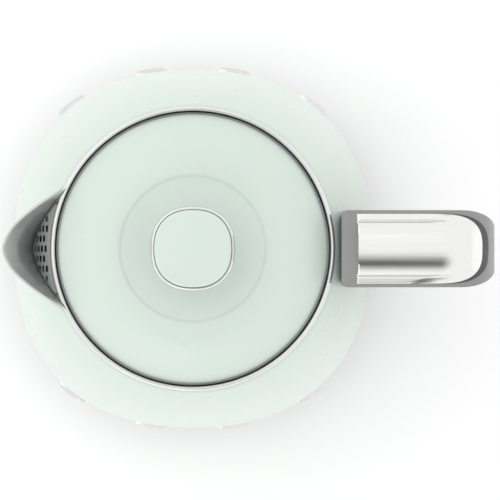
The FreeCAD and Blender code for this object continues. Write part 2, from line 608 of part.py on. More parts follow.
# ---- switch lever ------------------------------------------------------------
def lever():
    """Paddle under the lower arm, its hub and the pin it turns on."""
    wide = 11.5
    core = fused([rod(3.4, (LEVER_X, -wide, LEVER_Z), (0, 1, 0), 2 * wide),
                  box(LEVER_X, LEVER_X + 13, -6, 6, LEVER_Z - 2, LEVER_Z + 2)])
    core = core.cut(rod(PIN_R + PIN_PLAY, (LEVER_X, -20, LEVER_Z), (0, 1, 0), 40))
    side = [V(LEVER_X + 7, -wide, LEVER_Z + 3.4), V(LEVER_X + 18, -wide, LEVER_Z + 5.2),
            V(LEVER_X + 27, -wide, LEVER_Z + 11.0), V(LEVER_X + 28.4, -wide, LEVER_Z + 8.0),
            V(LEVER_X + 20, -wide, LEVER_Z + 0.6), V(LEVER_X + 7, -wide, LEVER_Z - 2.6)]
    paddle = Part.Face(Part.makePolygon(side + side[:1])).extrude(V(0, 2 * wide, 0))
    paddle = paddle.cut(core)
    keep("switch_lever", max(paddle.Solids, key=lambda s: s.Volume))
    keep("lever_core", core)
    keep("lever_pivot", rod(PIN_R, (LEVER_X, -15.2, LEVER_Z), (0, 1, 0), 30.4))


def indicator(core):
    """Lamp in the foot of the handle."""
    lens = rod(2.6, (134.0, 0, 100), (1, 0, 0), 5.2)
    keep("indicator_lens", lens)
    return core.cut(lens)


# ---- assemble and write ------------------------------------------------------
power_base()
outer_body, wall, lip = body_and_spout()
badges(outer_body)
underside()
wall = water_gauge(wall, outer_body)
wall = hinge_mount(wall)
core, cover, seal = handle(outer_body)
core = core.cut(nodes["handle_screws"])
core = indicator(core)
keep("spout", lip)
keep("rim_ring", rim_ring())
keep("body_wall", wall)
keep("handle_core", core)
keep("handle_cover", cover)
keep("handle_gasket", seal)
lid()
spout_filter()
lever()

for name, shape in nodes.items():
    shape.exportStep("parts/%s.step" % name)
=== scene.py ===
import json
import math

import bmesh
import bpy
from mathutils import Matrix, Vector


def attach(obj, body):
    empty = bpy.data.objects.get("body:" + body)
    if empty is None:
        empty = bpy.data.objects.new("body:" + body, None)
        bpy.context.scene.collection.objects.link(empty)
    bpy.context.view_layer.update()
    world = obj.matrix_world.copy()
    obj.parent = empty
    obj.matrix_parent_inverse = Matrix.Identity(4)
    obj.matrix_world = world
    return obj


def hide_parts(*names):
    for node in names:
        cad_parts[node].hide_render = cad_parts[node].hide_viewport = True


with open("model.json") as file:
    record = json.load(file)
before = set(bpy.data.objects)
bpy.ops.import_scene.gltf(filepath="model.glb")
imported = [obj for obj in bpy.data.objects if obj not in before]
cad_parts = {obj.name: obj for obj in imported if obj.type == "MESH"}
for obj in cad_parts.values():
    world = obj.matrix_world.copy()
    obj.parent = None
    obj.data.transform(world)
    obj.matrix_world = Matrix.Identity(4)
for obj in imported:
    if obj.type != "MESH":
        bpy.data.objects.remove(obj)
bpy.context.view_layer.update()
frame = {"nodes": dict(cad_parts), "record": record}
nodes = frame["nodes"]
MM = 0.001

# ---- camera, straight above the body axis --------------------------------------
CAMERA_HEIGHT = 2.904
FRAME_CENTRE_X = 0.0264        # the picture is centred between spout tip and handle end
FRAME_CENTRE_Y = -0.0006
LENS, SENSOR = 425.0, 36.0
AIM_Z = 0.18

WORLD_LIGHT = 0.98
FLOOR_HALF = 8.0
FLOOR_GLOW = 0.17              # light the floor gives off itself, so that it shows white
FLAG_TILT = 0.56               # where the dark flag stands, as slope from overhead towards -Y
FLAG_SPREAD, FLAG_LENGTH = 0.48, 0.60   # its reach along Y and along X, in the same slope
FLAG_SHADE = 0.0
HORIZON = 0.05                 # lowest rise used for a slope, which keeps it finite
PANEL_AIM = (0, 0, 0.12)
PANELS = [                     # name, place, side, watts
    ("key_panel", (-1.0, 0.6, 1.9), 1.8, 4),
    ("fill_panel", (-0.6, -1.9, 1.2), 1.2, 3),
]


def camera():
    data = bpy.data.cameras.new("camera")
    data.lens = LENS
    data.sensor_width = SENSOR
    data.clip_end = 20.0
    cam = bpy.data.objects.new("camera", data)
    bpy.context.scene.collection.objects.link(cam)
    cam.location = (0.0, 0.0, CAMERA_HEIGHT)
    drop = CAMERA_HEIGHT - AIM_Z
    cam.rotation_euler = (math.atan(FRAME_CENTRE_Y / drop), -math.atan(FRAME_CENTRE_X / drop), 0)
    bpy.context.scene.camera = cam


# ---- light and floor -------------------------------------------------------------
def panel(name, place, side, power):
    data = bpy.data.lights.new(name, "AREA")
    data.shape = "RECTANGLE"
    data.size, data.size_y = side, side
    data.energy = power
    lamp = bpy.data.objects.new(name, data)
    bpy.context.scene.collection.objects.link(lamp)
    lamp.location = place
    towards = Vector(PANEL_AIM) - Vector(place)
    lamp.rotation_euler = towards.to_track_quat("-Z", "Y").to_euler()


def studio():
    """Even white surround with one soft dark flag, which draws the shade along the handle."""
    scene = bpy.context.scene
    scene.view_settings.view_transform = "Standard"
    world = bpy.data.worlds.new("studio")
    scene.world = world
    world.use_nodes = True
    tree = world.node_tree
    back = tree.nodes["Background"]
    back.inputs["Strength"].default_value = WORLD_LIGHT
    place = tree.nodes.new("ShaderNodeTexCoord")
    parts = tree.nodes.new("ShaderNodeSeparateXYZ")
    tree.links.new(place.outputs["Generated"], parts.inputs["Vector"])
    up = world_math(tree, "MAXIMUM", parts.outputs["Z"], HORIZON)
    tilt = world_math(tree, "DIVIDE", parts.outputs["Y"], up)
    side = world_math(tree, "DIVIDE", parts.outputs["X"], up)
    across = world_math(tree, "DIVIDE", world_math(tree, "ADD", tilt, FLAG_TILT), FLAG_SPREAD)
    along = world_math(tree, "DIVIDE", side, FLAG_LENGTH)
    away = world_math(tree, "POWER", world_math(
        tree, "ADD", world_math(tree, "MULTIPLY", across, across),
        world_math(tree, "MULTIPLY", along, along)), 0.5)
    edge = tree.nodes.new("ShaderNodeMapRange")
    edge.interpolation_type = "SMOOTHSTEP"
    tree.links.new(away, edge.inputs["Value"])
    edge.inputs["From Min"].default_value = 0.0
    edge.inputs["From Max"].default_value = 1.0
    edge.inputs["To Min"].default_value = FLAG_SHADE
    edge.inputs["To Max"].default_value = 1.0
    white = tree.nodes.new("ShaderNodeCombineColor")
    for channel in ("Red", "Green", "Blue"):
        tree.links.new(edge.outputs["Result"], white.inputs[channel])
    tree.links.new(white.outputs["Color"], back.inputs["Color"])
    for name, spot, side_length, power in PANELS:
        panel(name, spot, side_length, power)


def world_math(tree, operation, first, second):
    made = tree.nodes.new("ShaderNodeMath")
    made.operation = operation
    tree.links.new(first, made.inputs[0])
    if isinstance(second, bpy.types.NodeSocket):
        tree.links.new(second, made.inputs[1])
    else:
        made.inputs[1].default_value = second
    return made.outputs["Value"]


def floor():
    mesh = bpy.data.meshes.new("floor")
    half = FLOOR_HALF
    mesh.from_pydata([(-half, -half, 0), (half, -half, 0), (half, half, 0), (-half, half, 0)],
                     [], [(0, 1, 2, 3)])
    obj = bpy.data.objects.new("floor", mesh)
    bpy.context.scene.collection.objects.link(obj)
    mat = bpy.data.materials.new("floor_white")
    mat.use_nodes = True
    shader = mat.node_tree.nodes["Principled BSDF"]
    shader.inputs["Base Color"].default_value = (0.93, 0.93, 0.93, 1)
    shader.inputs["Roughness"].default_value = 0.7
    shader.inputs["Emission Color"].default_value = (1, 1, 1, 1)
    shader.inputs["Emission Strength"].default_value = FLOOR_GLOW
    obj.data.materials.append(mat)


# ---- materials ---------------------------------------------------------------------
FINISH = "finish_"             # before the record's slot name, in the names of materials


class Shade:
    """A small builder round one Principled shader and its node tree."""

    def __init__(self, name, roughness=0.5, metallic=0.0, **settings):
        self.mat = bpy.data.materials.new(FINISH + name)
        self.mat.use_nodes = True
        self.tree = self.mat.node_tree
        self.shader = self.tree.nodes["Principled BSDF"]
        self.shader.inputs["Roughness"].default_value = roughness
        self.shader.inputs["Metallic"].default_value = metallic
        for key, value in settings.items():
            self.shader.inputs[key.replace("_", " ")].default_value = value
        self.place = None
        self.normal = None

    def node(self, kind, **inputs):
        made = self.tree.nodes.new(kind)
        for key, value in inputs.items():
            self.feed(made.inputs[key.replace("_", " ")], value)
        return made

    def feed(self, socket, value):
        if isinstance(value, bpy.types.NodeSocket):
            self.tree.links.new(value, socket)
        else:
            socket.default_value = value

    def coords(self, scale=(1, 1, 1)):
        if self.place is None:
            self.place = self.tree.nodes.new("ShaderNodeTexCoord")
        return self.node("ShaderNodeMapping", Vector=self.place.outputs["Object"],
                         Scale=scale).outputs["Vector"]

    def noise(self, scale, detail=4.0, stretch=(1, 1, 1), roughness=0.55):
        made = self.node("ShaderNodeTexNoise", Vector=self.coords(stretch), Scale=scale,
                         Detail=detail, Roughness=roughness)
        return made.outputs["Fac"]

    def remap(self, value, low, high, start=0.0, end=1.0):
        made = self.node("ShaderNodeMapRange", Value=value, From_Min=start, From_Max=end,
                         To_Min=low, To_Max=high)
        return made.outputs["Result"]

    def blend(self, factor, first, second):
        made = self.tree.nodes.new("ShaderNodeMix")
        made.data_type = "RGBA"
        self.feed(made.inputs["Factor"], factor)
        self.feed(made.inputs["A"], first)
        self.feed(made.inputs["B"], second)
        return made.outputs["Result"]

    def bump(self, height, distance, strength=1.0):
        made = self.node("ShaderNodeBump", Height=height, Distance=distance,
                         Strength=strength)
        if self.normal is not None:
            self.feed(made.inputs["Normal"], self.normal)
        self.normal = made.outputs["Normal"]
        self.feed(self.shader.inputs["Normal"], self.normal)

    def colour(self, value):
        self.feed(self.shader.inputs["Base Color"], value)

    def rough(self, value):
        self.feed(self.shader.inputs["Roughness"], value)


def tone(r, g, b):
    return (r, g, b, 1.0)


def enamel():
    s = Shade("mint_paint", 0.30, 0.0, Coat_Weight=0.12, Coat_Roughness=0.12,
              Specular_IOR_Level=0.30)
    cloud = s.noise(9.0, 3.0)
    s.colour(s.blend(s.remap(cloud, 0, 1, 0.35, 0.65), tone(0.700, 0.798, 0.722),
                     tone(0.712, 0.808, 0.736)))
    s.rough(s.remap(s.noise(60.0, 5.0), 0.27, 0.35, 0.3, 0.7))
    s.bump(s.noise(420.0, 2.0), 0.00002, 0.35)
    return s.mat


def metal(name, dark, light, low, high, stretch, grain, depth=0.00002, scale=40.0):
    s = Shade(name, 0.2, 1.0)
    streak = s.noise(scale, 6.0, stretch, 0.65)
    s.colour(s.blend(s.remap(streak, 0, 1, 0.3, 0.7), dark, light))
    s.rough(s.remap(s.noise(grain, 5.0, stretch), low, high, 0.3, 0.7))
    s.bump(streak, depth, 0.5)
    return s.mat


def moulded(name, dark, light, rough=0.45, grain=2600.0, depth=0.00006, strength=0.35):
    s = Shade(name, rough)
    cloud = s.noise(30.0, 4.0)
    s.colour(s.blend(s.remap(cloud, 0, 1, 0.35, 0.65), dark, light))
    s.rough(s.remap(s.noise(140.0, 4.0), rough - 0.06, rough + 0.08, 0.3, 0.7))
    s.bump(s.noise(grain, 3.0), depth, strength)
    return s.mat


def clear():
    s = Shade("clear_plastic", 0.08, 0.0, Transmission_Weight=0.85, IOR=1.49)
    s.colour(s.blend(s.noise(40.0), tone(0.80, 0.87, 0.86), tone(0.88, 0.92, 0.92)))
    s.rough(s.remap(s.noise(90.0), 0.05, 0.14))
    return s.mat


def build_materials():
    return {
        "mint_paint": enamel(),
        "polished_chrome": metal("polished_chrome", tone(0.74, 0.74, 0.74),
                                 tone(0.82, 0.82, 0.82), 0.10, 0.18, (1, 1, 1), 200.0),
        "brushed_steel": metal("brushed_steel", tone(0.86, 0.86, 0.85),
                               tone(0.93, 0.93, 0.92), 0.15, 0.23, (0.6, 60, 60), 30.0),
        "satin_steel": metal("satin_steel", tone(0.60, 0.61, 0.60),
                             tone(0.70, 0.71, 0.70), 0.34, 0.46, (1, 1, 1), 300.0),
        "grey_plastic": moulded("grey_plastic", tone(0.275, 0.275, 0.275),
                                tone(0.310, 0.310, 0.310), 0.38),
        "dark_plastic": moulded("dark_plastic", tone(0.060, 0.062, 0.066),
                                tone(0.085, 0.087, 0.092), 0.42),
        "base_plastic": moulded("base_plastic", tone(0.075, 0.076, 0.080),
                                tone(0.10, 0.101, 0.106), 0.46, 1800.0, 0.0001),
        "filter_plastic": moulded("filter_plastic", tone(0.34, 0.345, 0.345),
                                  tone(0.40, 0.405, 0.405), 0.4),
        "clear_plastic": clear(),
        "silicone": moulded("silicone", tone(0.38, 0.39, 0.39), tone(0.46, 0.47, 0.47), 0.62),
        "black_rubber": moulded("black_rubber", tone(0.025, 0.025, 0.026),
                                tone(0.045, 0.045, 0.046), 0.7, 1500.0, 0.00012),
        "brass": metal("brass", tone(0.62, 0.46, 0.20), tone(0.80, 0.62, 0.32), 0.18, 0.34,
                       (1, 1, 8), 120.0),
        "aluminium": metal("aluminium", tone(0.58, 0.58, 0.58), tone(0.74, 0.74, 0.74),
                           0.35, 0.5, (1, 1, 1), 150.0),
        "amber_lens": moulded("amber_lens", tone(0.62, 0.26, 0.05), tone(0.80, 0.40, 0.10),
                              0.18, 400.0, 0.00002),
    }


def finish_nodes(materials):
    slots = {p["node"]: p["material_slot"] for p in frame["record"]["subparts"]}
    for name, node in nodes.items():
        node.data.materials.clear()
        node.data.materials.append(materials[slots[name]])


# ---- driving sizes, in millimetres, as in the CAD part but for SLOT_TOP_Z ---------------
BODY_BOTTOM, BODY_TOP = 24.0, 202.0
BODY_HALF, WAIST_Z, SHOULDER_SPAN = 85.5, 65.0, 138.0
SHOULDER_SOFT, SHOULDER_HARD, FOOT_TUCK = 9.0, 11.4, 4.5
SQUARENESS, WALL = 2.32, 1.2
LID_SKIN_R, LID_EDGE_Z, LID_FOOT_Z = 61.4, 203.5, 202.1
DISH_R, DISH_EDGE_Z, DISH_FLOOR_Z = 33.9, 217.6, 215.4
SPOUT_RIM = [(87.0, 0.0), (86.5, 3.0), (85.0, 6.6), (82.6, 10.5), (78.5, 14.9),
             (74.4, 18.6), (69.1, 22.7), (64.2, 26.3), (58.6, 30.4)]
SPOUT_ROOT_Z, SPOUT_TOP, SPOUT_TIP_Z, SPOUT_T = 182.5, 206.5, 208.5, 0.9
RING_R = 65.25
FILTER_TOP = 200.8
FILTER_PLAY = 0.35
SLOT_TOP_Z = 199.0              # the CAD part has its slots 0.4 lower
SLOT_W, SLOT_D, SLOT_PITCH_Y, SLOT_PITCH_Z = 3.1, 1.0, 4.6, 3.3
KNOB_POWER = 2.31
HANDLE_TOP, HANDLE_X1, BEND_R = 213.0, 138.9, 26.0
COVER_X0, COVER_NOSE, COVER_HALF, COVER_CREASE = 74.9, 132.6, 15.9, 12.4
NOSE_LENGTH = 24.0

# ---- sizes that only shape the meshes, in millimetres -------------------------------------
WALL_LIP = 0.4                  # rounding of the wall's top and bottom edges
GAUGE_HALF, GAUGE_Z0, GAUGE_Z1, GAUGE_X0, GAUGE_X1 = 5.0, 88, 160, 60, 100
ROOT_RISE = 1.6                 # rise of the spout's root for each mm of inset
INSET_SHRINK = 0.9              # loss of half width for each mm of inset, at the spout's root
NARROWEST = 0.08                # the spout's width at its root, as a part of the rim's
RIM_LOW_REACH = 62.0            # reach at which the spout's rim is at SPOUT_TOP
BISECTIONS = 30
TROUGH_BACK_X, TROUGH_LEVELS, TROUGH_OVER = -50, 28, 4
FILTER_FOOT = 2.6               # the filter's foot above the root of the trough
FILTER_DEPTHS = (0.1, WALL + 1.0)
SLOT_COLUMNS = 3                # slot columns on each side of the middle one
SLOT_LOW, SLOT_HIGH = 175, 206  # ends of the bars that cut the slots
SLOT_FLOOR = 5.0                # no slot is nearer than this to the spout's root
PANEL_HALF, PANEL_FOOT = 25.0, 2.0   # rough half width of the filter, and where it starts
SLOT_MARGIN = 3.0               # plain edge kept beside the outer slots
DOME_POWER = 0.85
DISH_LIP = [(0.5, 0.25), (1.2, 0.75)]   # inwards and down from the dish's edge
LID_HOLE_R, LID_T = 9.0, 1.1
KNOB_RING = [(15.0, 232.0), (17.2, 232.9), (18.7, 234.6), (19.3, 236.8), (19.4, 239.2),
             (19.3, 241.6), (18.9, 243.4), (18.3, 244.4), (17.75, 244.6), (17.7, 243.6),
             (17.6, 241.0), (15.0, 240.2)]
KNOB_CAP_SIDE = [(15.2, 241.0), (17.4, 241.2), (17.55, 244.0), (17.3, 245.2), (16.5, 246.2)]
KNOB_CROWN = 1.8
BEAD = [(63.0, 203.7), (63.12, 204.4), (63.4, 204.9), (63.8, 205.15), (64.15, 205.15),
        (64.5, 204.95), (64.85, 204.55), (65.1, 204.0), (65.25, 203.2), (65.25, 202.05),
        (63.9, 202.05), (63.9, 201.2), (63.0, 201.2)]
BAND = [(58.5, 200.9), (62.4, 200.9), (62.5, 202.6), (62.42, 203.1), (62.3, 203.4),
        (62.15, 203.48), (62.05, 203.3), (61.9, 203.48), (61.7, 203.48), (61.4, 203.3),
        (61.4, 202.1), (58.5, 202.1)]
HANDLE_ROUNDING = 1.3
END_ROLL = 0.6                  # rounding of the cover's straight end
COVER_UNDER = 0.9               # how far the cover reaches below the handle's outer line
CREASE_HALF, CREASE_DEPTH = 0.45, 0.55
CREASE_ENDS = (108, 121)        # the creases fade out between these along X
NOSE_ROUNDING = (94, 124)       # the cover's edge grows rounder between these along X
TILE_ANGLES = (50.0, 76.8, 103.2, 130.0)
TILE_Z, TILE_WIDE, TILE_TALL, TILE_PROUD, TILE_EDGE = 76, 15.5, 20.0, 2.2, 0.7
TILE_WALL_R, DEGREES_A_RADIAN = 86.0, 57.3


# ---- mesh helpers ------------------------------------------------------------------
def new_piece(name, points, faces, material, body=None, replaced=(), sharp=35.0):
    """A mesh object from points in millimetres, smooth but for edges over `sharp` degrees."""
    mesh = bpy.data.meshes.new(name)
    mesh.from_pydata([(x * MM, y * MM, z * MM) for x, y, z in points], [], faces)
    mesh.validate()
    tidy = bmesh.new()
    tidy.from_mesh(mesh)
    bmesh.ops.remove_doubles(tidy, verts=tidy.verts, dist=1e-7)
    bmesh.ops.recalc_face_normals(tidy, faces=tidy.faces)
    tidy.to_mesh(mesh)
    tidy.free()
    obj = bpy.data.objects.new(name, mesh)
    bpy.context.scene.collection.objects.link(obj)
    soften(obj, sharp)
    if material:
        mesh.materials.append(material)
    if replaced:
        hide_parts(*replaced)
    if body:
        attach(obj, body)
    return obj


def soften(obj, sharp=35.0):
    for face in obj.data.polygons:
        face.use_smooth = True
    obj.data.set_sharp_from_angle(angle=math.radians(sharp))


def loft_faces(rows, width, closed=True, cap_first=False, cap_last=False):
    """Quads between rows of `width` points each, with optional end caps."""
    faces = []
    last = width if closed else width - 1
    for i in range(rows - 1):
        for j in range(last):
            k = (j + 1) % width
            faces.append((i * width + j, i * width + k, (i + 1) * width + k, (i + 1) * width + j))
    if cap_first:
        faces.append(tuple(range(width)))
    if cap_last:
        faces.append(tuple(range((rows - 1) * width, rows * width)))
    return faces


def lofted(name, rows, material, closed=True, caps=(False, False), **extra):
    points = [p for row in rows for p in row]
    faces = loft_faces(len(rows), len(rows[0]), closed, *caps)
    return new_piece(name, points, faces, material, **extra)


def turned(name, profile, material, steps=192, **extra):
    """A closed profile of (radius, z) turned about the body axis."""
    rows = []
    for r, z in profile + profile[:1]:
        rows.append([(r * math.cos(2 * math.pi * j / steps),
                      r * math.sin(2 * math.pi * j / steps), z) for j in range(steps)])
    return lofted(name, rows, material, **extra)


def rounded(outline, radius, steps=5):
    """A closed 2D outline with each corner rounded by up to `radius`."""
    out = []
    count = len(outline)
    for i, corner in enumerate(outline):
        b = Vector(corner)
        a, c = Vector(outline[i - 1]), Vector(outline[(i + 1) % count])
        to_a, to_c = (a - b), (c - b)
        reach = min(radius, 0.45 * to_a.length, 0.45 * to_c.length)
        p, q = b + to_a.normalized() * reach, b + to_c.normalized() * reach
        for k in range(steps + 1):
            t = k / steps
            out.append(tuple((1 - t) ** 2 * p + 2 * t * (1 - t) * b + t * t * q))
    return out


def superellipse(half, power, z, steps):
    row = []
    for j in range(steps):
        a = 2 * math.pi * (j + 0.5) / steps
        c, s = math.cos(a), math.sin(a)
        r = half / (abs(c) ** power + abs(s) ** power) ** (1 / power)
        row.append((r * c, r * s, z))
    return row


def smooth_step(value, low, high):
    t = min(1.0, max(0.0, (value - low) / (high - low)))
    return t * t * (3 - 2 * t)


def carve(obj, cutter):
    """Cut one mesh out of another and keep only the result."""
    change = obj.modifiers.new("carve", "BOOLEAN")
    change.operation = "DIFFERENCE"
    change.solver = "EXACT"
    change.object = cutter
    graph = bpy.context.evaluated_depsgraph_get()
    result = bpy.data.meshes.new_from_object(obj.evaluated_get(graph))
    obj.modifiers.clear()
    old = obj.data
    obj.data = result
    result.name = old.name
    bpy.data.meshes.remove(old)
    bpy.data.objects.remove(cutter)
    soften(obj)


# ---- body ------------------------------------------------------------------------------
def draw_in(z):
    """Half width of the body at height z."""
    if z < WAIST_Z:
        t = (WAIST_Z - z) / (WAIST_Z - BODY_BOTTOM)
        return BODY_HALF - FOOT_TUCK * max(0.0, t) ** 2.5
    t = (z - WAIST_Z) / SHOULDER_SPAN
    return BODY_HALF - SHOULDER_SOFT * t ** 2 - SHOULDER_HARD * t ** 6


def squareness(z):
    t = min(1.0, max(0.0, (z - WAIST_Z) / SHOULDER_SPAN))
    return SQUARENESS - (SQUARENESS - 2.0) * t ** 2


def lean(z):
    """How much longer the sloping wall's normal offset is when measured flat."""
    slope = (draw_in(z + 0.1) - draw_in(z - 0.1)) / 0.2
    return math.sqrt(1 + slope ** 2)


def wall_point(angle, z, depth):
    """Point of the body surface at that angle and height, moved inwards by depth."""
    c, s, n = math.cos(angle), math.sin(angle), squareness(z)
    half = draw_in(z) - depth * lean(z)
    r = half / (abs(c) ** n + abs(s) ** n) ** (1 / n)
    return (r * c, r * s, z)


def wall_x(y, z, depth):
    """Distance along X of the body surface at y, z."""
    n = squareness(z)
    half = draw_in(z) - depth * lean(z)
    return max(0.0, half ** n - abs(y) ** n) ** (1 / n)


def body_wall(material):
    steps, levels = 288, 72
    heights = [BODY_BOTTOM + (BODY_TOP - BODY_BOTTOM) * k / levels for k in range(levels + 1)]
    lip = WALL_LIP
    stations = [(BODY_BOTTOM, lip)] + [(z, 0.0) for z in
                [BODY_BOTTOM + lip] + heights[1:-1] + [BODY_TOP - lip]] + [(BODY_TOP, lip)]
    stations += [(BODY_TOP, WALL - lip)] + [(z, WALL) for z in
                 [BODY_TOP - lip] + heights[-2:0:-1] + [BODY_BOTTOM + lip]]
    stations += [(BODY_BOTTOM, WALL - lip), (BODY_BOTTOM, lip)]
    rows = [[wall_point(2 * math.pi * (j + 0.5) / steps, z, depth) for j in range(steps)]
            for z, depth in stations]
    wall = lofted("body_shell", rows, material)
    carve(wall, trough_block())
    carve(wall, stadium("gauge_slot", GAUGE_HALF, GAUGE_Z0, GAUGE_Z1, GAUGE_X0, GAUGE_X1))
    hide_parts("body_wall")
    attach(wall, "kettle")


def stadium(name, half, z0, z1, x0, x1, steps=12):
    """Prism along X with round ends, from z0 to z1 between the end centres."""
    loop = []
    for k in range(steps + 1):
        a = math.pi * k / steps
        loop.append((half * math.cos(a), z1 + half * math.sin(a)))
    for k in range(steps + 1):
        a = math.pi * k / steps
        loop.append((-half * math.cos(a), z0 - half * math.sin(a)))
    rows = [[(x, y, z) for y, z in loop] for x in (x0, x1)]
    return lofted(name, rows, None, caps=(True, True))


# ---- spout -----------------------------------------------------------------------------
def rim_point(u):
    """Reach and half width of the spout's rim, u from 0 at the tip to 1 at the root."""
    spans = len(SPOUT_RIM) - 1
    i = min(int(u * spans), spans - 1)
    t = u * spans - i
    mirror = (SPOUT_RIM[1][0], -SPOUT_RIM[1][1])
    p0 = Vector(SPOUT_RIM[i - 1] if i else mirror)
    p1, p2 = Vector(SPOUT_RIM[i]), Vector(SPOUT_RIM[i + 1])
    p3 = Vector(SPOUT_RIM[i + 2]) if i + 2 <= spans else 2 * p2 - p1
    return 0.5 * (2 * p1 + (p2 - p0) * t + (2 * p0 - 5 * p1 + 4 * p2 - p3) * t ** 2
                  + (3 * p1 - p0 - 3 * p2 + p3) * t ** 3)


def spout_point(u, z, inset):
    """Point of the spout's face at height z; u is negative on the -Y side."""
    root = SPOUT_ROOT_Z + inset * ROOT_RISE
    grow = min(1.0, max(0.0, (z - root) / (SPOUT_TIP_Z - root)))
    reach, side = rim_point(abs(u))
    y = side * (1 - INSET_SHRINK * inset / SPOUT_RIM[-1][1]) * max(NARROWEST, grow ** 0.5)
    wall_r = draw_in(min(z, BODY_TOP)) - inset
    x = grow * (reach - inset) + (1 - grow) * math.sqrt(max(0.0, wall_r ** 2 - y ** 2))
    return (-x, math.copysign(y, u), z)


def rim_height(u):
    reach = rim_point(abs(u))[0]
    span = SPOUT_RIM[0][0] - RIM_LOW_REACH
    return SPOUT_TOP + (SPOUT_TIP_Z - SPOUT_TOP) * (reach - RIM_LOW_REACH) / span


def root_u(z, inset, depth):
    """Where the spout's face meets the wall or the ring at height z."""
    stop = max(RING_R + 0.3, draw_in(min(z, BODY_TOP)) - depth)
    low, high = 0.0, 1.0
    for _ in range(BISECTIONS):
        mid = (low + high) / 2
        x, y = spout_point(mid, z, inset)[:2]
        if math.hypot(x, y) > stop:
            low = mid
        else:
            high = mid
    return low


def spout_face(inset, depth, levels, across):
    rows = []
    root = SPOUT_ROOT_Z + inset * ROOT_RISE + 0.3
    for i in range(levels + 1):
        k = i / levels
        row = []
        for j in range(-across, across + 1):
            z = root + (SPOUT_TOP - root) * k
            for _ in range(3):
                u = root_u(z, inset, depth) * j / across
                z = root + (rim_height(u) - root) * k
            row.append(spout_point(u, z, inset))
        rows.append(row)
    return rows


def spout(material):
    levels, across = 40, 48
    outer = spout_face(0.0, 0.2, levels, across)
    inner = spout_face(SPOUT_T, 0.2, levels, across)
    crest = [tuple((Vector(a) + Vector(b)) / 2 + Vector((0, 0, 0.25)))
             for a, b in zip(outer[-1], inner[-1])]
    rows = outer + [crest] + inner[::-1]
    return lofted("spout_lip", rows + rows[:1], material, closed=False,
                  body="kettle", replaced=("spout",))


def trough_block():
    """The room inside the spout, extended into the kettle, to cut the wall with."""
    rows = []
    across = 40
    root = SPOUT_ROOT_Z + SPOUT_T * ROOT_RISE
    for i in range(TROUGH_LEVELS + TROUGH_OVER + 1):
        z = root + (SPOUT_TIP_Z - SPOUT_ROOT_Z) * i / TROUGH_LEVELS
        row = [spout_point(j / across, z, SPOUT_T) for j in range(-across, across + 1)]
        row += [(TROUGH_BACK_X, row[-1][1], z), (TROUGH_BACK_X, row[0][1], z)]
        rows.append(row)
    return lofted("trough_cutter", rows, None, caps=(True, True))


def filter_panel(material):
    """Slotted panel flush in the wall opening."""
    levels, across = 30, 40
    inset = SPOUT_T + FILTER_PLAY
    root = SPOUT_ROOT_Z + inset * ROOT_RISE + FILTER_FOOT
    faces = []
    for depth in FILTER_DEPTHS:
        rows = []
        for i in range(levels + 1):
            z = root + (FILTER_TOP - root) * i / levels
            low, high = 0.0, 1.0
            for _ in range(BISECTIONS):
                mid = (low + high) / 2
                x, y = spout_point(mid, z, inset)[:2]
                if -x > wall_x(y, z, 0.0):
                    low = mid
                else:
                    high = mid
            edge = spout_point(low, z, inset)[1]
            rows.append([(-wall_x(edge * j / across, z, depth), edge * j / across, z)
                         for j in range(-across, across + 1)])
        faces.append(rows)
    loops = [front + back[::-1] for front, back in zip(*faces)]
    panel = lofted("filter_panel", loops, material, caps=(True, True))
    carve(panel, slot_cutters())
    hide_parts("spout_filter")
    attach(panel, "filter")


def slot_cutters():
    """Upright bars with round ends for the slots, each second column half a pitch lower."""
    points, faces = [], []
    end, r = 5, SLOT_D / 2
    for column in range(-SLOT_COLUMNS, SLOT_COLUMNS + 1):
        y0 = column * SLOT_PITCH_Y
        z = SLOT_TOP_Z - 0.5 * SLOT_PITCH_Z * (abs(column) % 2)
        while z > SPOUT_ROOT_Z + SLOT_FLOOR:
            rise = (z - SPOUT_ROOT_Z - PANEL_FOOT) / (SPOUT_TIP_Z - SPOUT_ROOT_Z)
            if abs(y0) < PANEL_HALF * rise ** 0.5 - SLOT_MARGIN:
                x0 = -math.sqrt(draw_in(z) ** 2 - y0 ** 2)
                loop = []
                for side in (1, -1):
                    for k in range(end + 1):
                        a = math.pi * (k / end - 0.5) + (0 if side == 1 else math.pi)
                        loop.append((x0 + r * math.sin(a), y0 + side * (SLOT_W / 2 - r)
                                     + r * math.cos(a)))
                base, n = len(points), len(loop)
                points += [(x, y, level) for level in (SLOT_LOW, SLOT_HIGH) for x, y in loop]
                faces += [tuple(base + i for i in f) for f in
                          loft_faces(2, n, True, True, True)]
            z -= SLOT_PITCH_Z
    return new_piece("slot_cutter", points, faces, None)


# ---- lid and knob ------------------------------------------------------------------------
def lid_skin(material):
    dome = []
    steps = 40
    for i in range(1, steps + 1):
        k = i / steps
        r = LID_SKIN_R - (LID_SKIN_R - DISH_R) * k
        dome.append((r, LID_EDGE_Z + (DISH_EDGE_Z - LID_EDGE_Z)
                     * math.sin(k * math.pi / 2) ** DOME_POWER))
    dish = [(DISH_R - inwards, DISH_EDGE_Z - down) for inwards, down in DISH_LIP]
    lip_r, lip_z = dish[-1]
    for i in range(1, 25):
        k = i / 24
        r = lip_r * (1 - k) + LID_HOLE_R * k
        dish.append((r, DISH_FLOOR_Z + (lip_z - DISH_FLOOR_Z) * (1 - k) ** 2))
    top = [(LID_SKIN_R, LID_FOOT_Z), (LID_SKIN_R, LID_EDGE_Z - 0.3)] + dome + dish
    under = [(max(LID_HOLE_R, r - 0.8), z - LID_T) for r, z in reversed(top[2:])]
    under = ([(LID_HOLE_R, DISH_FLOOR_Z - LID_T)] + under[1:]
             + [(LID_SKIN_R - 1.2, LID_FOOT_Z)])
    turned("lid_dome", top + under, material, 256, body="lid", replaced=("lid_skin",), sharp=28)


